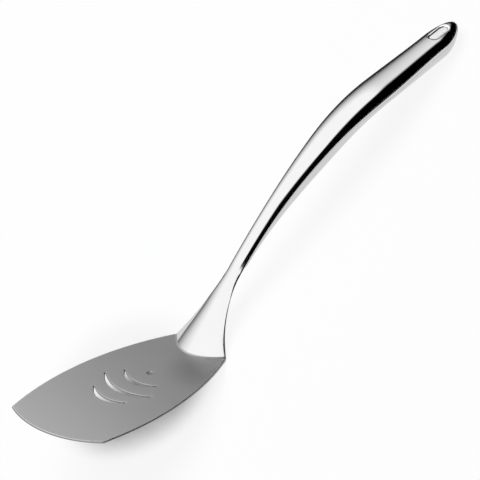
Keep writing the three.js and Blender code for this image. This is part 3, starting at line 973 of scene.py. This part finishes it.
def dark_side(nodes, links, view):
    handle_end = past(nodes, links, view, (1, 0, 0.40), 0, 0.05)
    right_side = past(nodes, links, view, (0, -1, -0.90), 0, 0.10)
    corner_side = past(nodes, links, view, (1.05, -1, -1.30), 0, 0.10)
    return joined(nodes, links, "MAXIMUM",
                  joined(nodes, links, "MULTIPLY", handle_end, right_side), corner_side)


def wall(nodes, links, x, z):
    far = between(nodes, links, x, 0.62, 0.80, 1.0, 0.75, True)
    near = between(nodes, links, x, -0.20, 0.05, 0.75, 1.0, True)
    lowered = joined(nodes, links, "MULTIPLY", z, joined(nodes, links, "MULTIPLY", far, near))
    return between(nodes, links, lowered, *HORIZON)


def room():
    world = bpy.data.worlds.new("studio")
    bpy.context.scene.world = world
    world.use_nodes = True
    nodes, links = world.node_tree.nodes, world.node_tree.links
    view = nodes.new("ShaderNodeTexCoord").outputs["Generated"]
    split = nodes.new("ShaderNodeSeparateXYZ")
    links.new(view, split.inputs[0])
    bright = blended(nodes, links, dark_side(nodes, links, view),
                     wall(nodes, links, split.outputs["X"], split.outputs["Z"]), 0.0)
    mirrored = blended(nodes, links, bright, grey(0.0), grey(MIRRORED_LIGHT), "RGBA")
    fill = nodes.new("ShaderNodeCombineColor")
    for channel in fill.inputs:
        links.new(between(nodes, links, split.outputs["Z"], *OVERHEAD), channel)
    path = nodes.new("ShaderNodeLightPath").outputs
    lit = blended(nodes, links, path["Is Glossy Ray"], fill.outputs[0], mirrored, "RGBA")
    plain = joined(nodes, links, "MAXIMUM", path["Is Camera Ray"], path["Is Transmission Ray"])
    background = nodes["Background"]
    links.new(blended(nodes, links, plain, lit, grey(1.0), "RGBA"), background.inputs["Color"])
    background.inputs["Strength"].default_value = 1.0


room()
print("world:", bpy.context.scene.world.name)

# %% [markdown]
# ## Black cards
# Photographers hold black cards over shiny metal to draw its form. A large card hangs half a metre up
# and gives the handle its band, and a small one hangs close above the nose, where the band has to start
# at once. The cards are seen only in mirrors. Their outlines are soft lines in the Alpha socket, which
# are easier to move and to soften than the outline of a mesh.

# %% Black cards
CARD_END_SOFT = 0.004


def only_mirrored(item):
    for way in ("camera", "diffuse", "shadow", "transmission", "volume_scatter"):
        setattr(item, "visible_" + way, False)


def arched_edge(nodes, links, place):
    rising = past(nodes, links, place, (0.35, -1, 0), -0.06, 0.05)
    falling = past(nodes, links, place, (-1.16, -1, 0), -0.118, 0.05)
    lower_part = past(nodes, links, place, (0, -1, 0), 0.10, 0.05)
    arch = joined(nodes, links, "MINIMUM", rising, falling)
    return joined(nodes, links, "MAXIMUM", arch, lower_part)


def straight_edge(nodes, links, place):
    return past(nodes, links, place, (-0.30, -1, 0), 0.002, 0.005)


def black_card(name, centre, half, left_end, edge):
    bm = bmesh.new()
    bmesh.ops.create_grid(bm, x_segments=1, y_segments=1, size=half,
                          matrix=Matrix.Translation(centre))
    card = staged(bm, name)
    only_mirrored(card)
    material, nodes, links, shader = new_material(name)
    place = nodes.new("ShaderNodeTexCoord").outputs["Object"]
    end = past(nodes, links, place, (1, 0, 0), left_end, CARD_END_SOFT)
    shape = joined(nodes, links, "MULTIPLY", end, edge(nodes, links, place))
    links.new(shape, shader.inputs["Alpha"])
    shader.inputs["Base Color"].default_value = grey(0.0)
    shader.inputs["Specular IOR Level"].default_value = 0.0
    shader.inputs["Roughness"].default_value = 1.0
    card.data.materials.append(material)


black_card("black_card", (1.1, -0.9, 0.5), 1.5, -0.070, arched_edge)
black_card("small_card", (0.0, -0.15, 0.15), 0.25, -0.0485, straight_edge)
print("two black cards hang over the handle")

# %% [markdown]
# ## Dark cloth
# The belly of the handle mirrors the table, and on white paper alone it would fade into it. A dark
# cloth lies round the bare paper under the handle, seen only in mirrors like the cards. It is a grid
# with some faces taken out, which is quicker than four strips.

# %% Dark cloth
CLOTH_HALF, CLOTH_HEIGHT = 1.5, 0.0004
BARE_X, BARE_Y = (-0.02, 0.19), (-0.10, 0.026)


def dark_cloth():
    bm = bmesh.new()
    bmesh.ops.create_grid(bm, x_segments=3, y_segments=3, size=CLOTH_HALF)
    for vert in bm.verts:
        x, y, _ = vert.co
        x = BARE_X[x > 0] if abs(x) < 1 else x
        y = BARE_Y[y > 0] if abs(y) < 1 else y
        vert.co = (x, y, CLOTH_HEIGHT)
    middles = [(face, face.calc_center_median()) for face in bm.faces]
    bare = [face for face, centre in middles if centre.x < 0 or centre.length < 0.3]
    bmesh.ops.delete(bm, geom=bare, context="FACES")
    cloth = staged(bm, "dark_cloth")
    only_mirrored(cloth)
    material, nodes, links, shader = new_material("dark_cloth")
    weave = noise(nodes, links, nodes.new("ShaderNodeTexCoord").outputs["Object"], 300.0)
    links.new(blended(nodes, links, weave, grey(0.006), grey(0.012), "RGBA"),
              shader.inputs["Base Color"])
    shader.inputs["Roughness"].default_value = 1.0
    cloth.data.materials.append(material)
    return cloth


print("the cloth has", len(dark_cloth().data.polygons), "faces")

# %% [markdown]
# ## Lamp
# One wide soft box hangs above the utensil, a little behind it as the camera sees it, and throws a soft
# shadow. It lights the paper, but mirrors don't see it, because they already show the bright room.

# %% Soft box
LAMP_PLACE, LAMP_SIZE, LAMP_POWER = Vector((-0.1, 0.30, 1.4)), 1.1, 14.0
lamp = bpy.data.lights.new("soft_box", "AREA")
lamp.shape = "DISK"
lamp.size = LAMP_SIZE
lamp.energy = LAMP_POWER
soft_box = bpy.data.objects.new("soft_box", lamp)
soft_box.location = LAMP_PLACE
soft_box.rotation_euler = (-LAMP_PLACE).to_track_quat("-Z", "Y").to_euler()
soft_box.visible_glossy = False
soft_box.visible_camera = False
bpy.context.scene.collection.objects.link(soft_box)
bpy.context.scene.view_settings.view_transform = "Standard"
